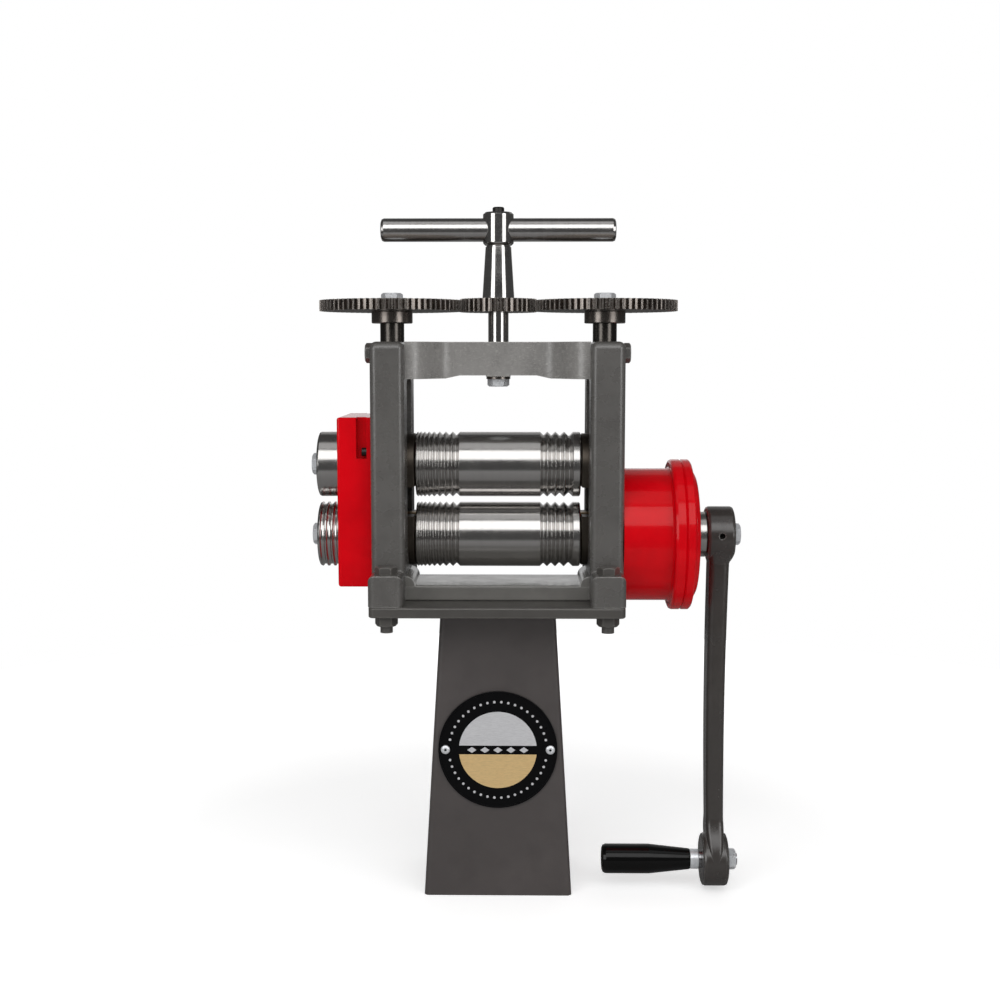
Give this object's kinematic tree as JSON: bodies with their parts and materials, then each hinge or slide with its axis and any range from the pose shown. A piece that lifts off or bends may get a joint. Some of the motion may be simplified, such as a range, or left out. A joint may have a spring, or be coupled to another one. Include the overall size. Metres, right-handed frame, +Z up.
{
  "type": "jewellers rolling mill",
  "caption": "Hand-cranked rolling mill with two grooved steel rolls between cast frames, geared screw-down T-handle, planetary gearbox and short side rolls on a sheet-steel pedestal.",
  "frame": {"origin": "on the floor under the pedestal's foot plate, midway between the side frames and straight below both roll axes", "axes": "+Z up, +X towards the crank, -Y towards the user, who feeds the metal in"},
  "size_m": [0.4309, 0.205, 0.6897],
  "materials": {
    "casting_paint": "satin dark grey paint on cast iron",
    "pedestal_paint": "satin dark grey paint on sheet steel",
    "roll_steel": "ground and polished tool steel",
    "gear_steel": "machined steel, lightly oiled",
    "handle_steel": "turned steel",
    "chock_iron": "machined iron, oiled",
    "bronze": "plain bearing bronze",
    "zinc": "zinc plated",
    "black_steel": "black oxide",
    "red_paint": "gloss red paint",
    "grip_black": "gloss black plastic",
    "badge_black": "satin black enamel",
    "spring_steel": "spring steel"
  },
  "bodies": {
    "frame": {"stand_column": "pedestal_paint", "stand_foot_plate": "pedestal_paint", "stand_top_plate": "casting_paint", "badge_plate": "badge_black", "badge_rivets": "zinc", "side_frame_left": "casting_paint", "side_frame_right": "casting_paint", "bottom_crossbar": "casting_paint", "top_tie_bar": "casting_paint", "foot_bolts": "casting_paint", "foot_nuts": "casting_paint", "crossbar_bolts": "zinc", "tie_bolts": "casting_paint", "lower_chocks": "chock_iron", "lower_bushes": "bronze", "lift_springs": "spring_steel", "gear_guard": "red_paint", "guard_screws": "black_steel", "gearbox_body": "red_paint", "gearbox_cap": "red_paint", "gearbox_screws": "black_steel", "cap_screws": "black_steel", "cap_bush": "bronze", "ring_gear": "gear_steel"},
    "upper_carriage": {"upper_chocks": "chock_iron", "upper_bushes": "bronze", "thrust_pads": "gear_steel"},
    "upper_roll": {"upper_roll": "roll_steel", "upper_side_roll": "roll_steel", "upper_side_roll_bolt": "zinc", "upper_sync_gear": "gear_steel"},
    "lower_roll": {"lower_roll": "roll_steel", "lower_side_roll": "roll_steel", "lower_side_roll_bolt": "zinc", "lower_sync_gear": "gear_steel", "planet_carrier": "gear_steel"},
    "planet_1": {"planet_gear_1": "gear_steel"},
    "planet_2": {"planet_gear_2": "gear_steel"},
    "planet_3": {"planet_gear_3": "gear_steel"},
    "crank": {"crank_shaft": "gear_steel", "crank_collar": "handle_steel", "crank_arm": "casting_paint", "crank_set_screw": "black_steel", "crank_end_bolt": "zinc", "grip_spindle": "handle_steel", "grip_nut": "zinc"},
    "grip": {"handle_grip": "grip_black", "grip_ferrule": "zinc"},
    "adjuster": {"adjuster_pinion": "gear_steel", "handle_column": "handle_steel", "handle_bar": "handle_steel", "handle_lock_screw": "black_steel", "spindle_bolt": "zinc", "spindle_washer": "gear_steel"},
    "left_screw": {"adjusting_screw_left": "gear_steel", "adjuster_gear_left": "gear_steel", "adjuster_gear_bolt_left": "zinc"},
    "right_screw": {"adjusting_screw_right": "gear_steel", "adjuster_gear_right": "gear_steel", "adjuster_gear_bolt_right": "zinc"}
  },
  "joints": [
    {"name": "crank_turn", "type": "hinge", "parent": "frame", "child": "crank", "pos_m": [0.2, 0, 0.3643], "axis": [1, 0, 0], "continuous": true},
    {"name": "lower_roll_turn", "type": "hinge", "parent": "frame", "child": "lower_roll", "pos_m": [0, 0, 0.3643], "axis": [1, 0, 0], "continuous": true},
    {"name": "upper_roll_turn", "type": "hinge", "parent": "upper_carriage", "child": "upper_roll", "pos_m": [0, 0, 0.4352], "axis": [1, 0, 0], "continuous": true},
    {"name": "planet_1_turn", "type": "hinge", "parent": "lower_roll", "child": "planet_1", "pos_m": [0.1475, 0, 0.4003], "axis": [1, 0, 0], "continuous": true},
    {"name": "planet_2_turn", "type": "hinge", "parent": "lower_roll", "child": "planet_2", "pos_m": [0.1475, -0.03118, 0.3463], "axis": [1, 0, 0], "continuous": true},
    {"name": "planet_3_turn", "type": "hinge", "parent": "lower_roll", "child": "planet_3", "pos_m": [0.1475, 0.03118, 0.3463], "axis": [1, 0, 0], "continuous": true},
    {"name": "grip_turn", "type": "hinge", "parent": "crank", "child": "grip", "pos_m": [0.15, -0.01571, 0.03117], "axis": [1, 0, 0], "continuous": true},
    {"name": "adjuster_turn", "type": "hinge", "parent": "frame", "child": "adjuster", "pos_m": [0, 0, 0.6], "axis": [0, 0, 1], "range_deg": [-360, 1260]},
    {"name": "carriage_slide", "type": "slide", "parent": "frame", "child": "upper_carriage", "axis": [0, 0, 1], "range_m": [-0.00541, 0.00155], "deforming": ["lift_springs"]},
    {"name": "left_screw_turn", "type": "hinge", "parent": "upper_carriage", "child": "left_screw", "pos_m": [-0.106, 0, 0.5], "axis": [0, 0, 1], "range_deg": [-800, 185]},
    {"name": "right_screw_turn", "type": "hinge", "parent": "upper_carriage", "child": "right_screw", "pos_m": [0.106, 0, 0.5], "axis": [0, 0, 1], "range_deg": [-800, 185]}
  ],
  "couplings": [
    {"joint": "lower_roll_turn", "follows": "crank_turn", "ratio": 0.25},
    {"joint": "upper_roll_turn", "follows": "crank_turn", "ratio": -0.25},
    {"joint": "planet_1_turn", "follows": "crank_turn", "ratio": -0.75},
    {"joint": "planet_2_turn", "follows": "crank_turn", "ratio": -0.75},
    {"joint": "planet_3_turn", "follows": "crank_turn", "ratio": -0.75},
    {"joint": "carriage_slide", "follows": "adjuster_turn", "m_per_rad": -0.00024555},
    {"joint": "left_screw_turn", "follows": "adjuster_turn", "ratio": -0.51429},
    {"joint": "right_screw_turn", "follows": "adjuster_turn", "ratio": -0.51429}
  ]
}
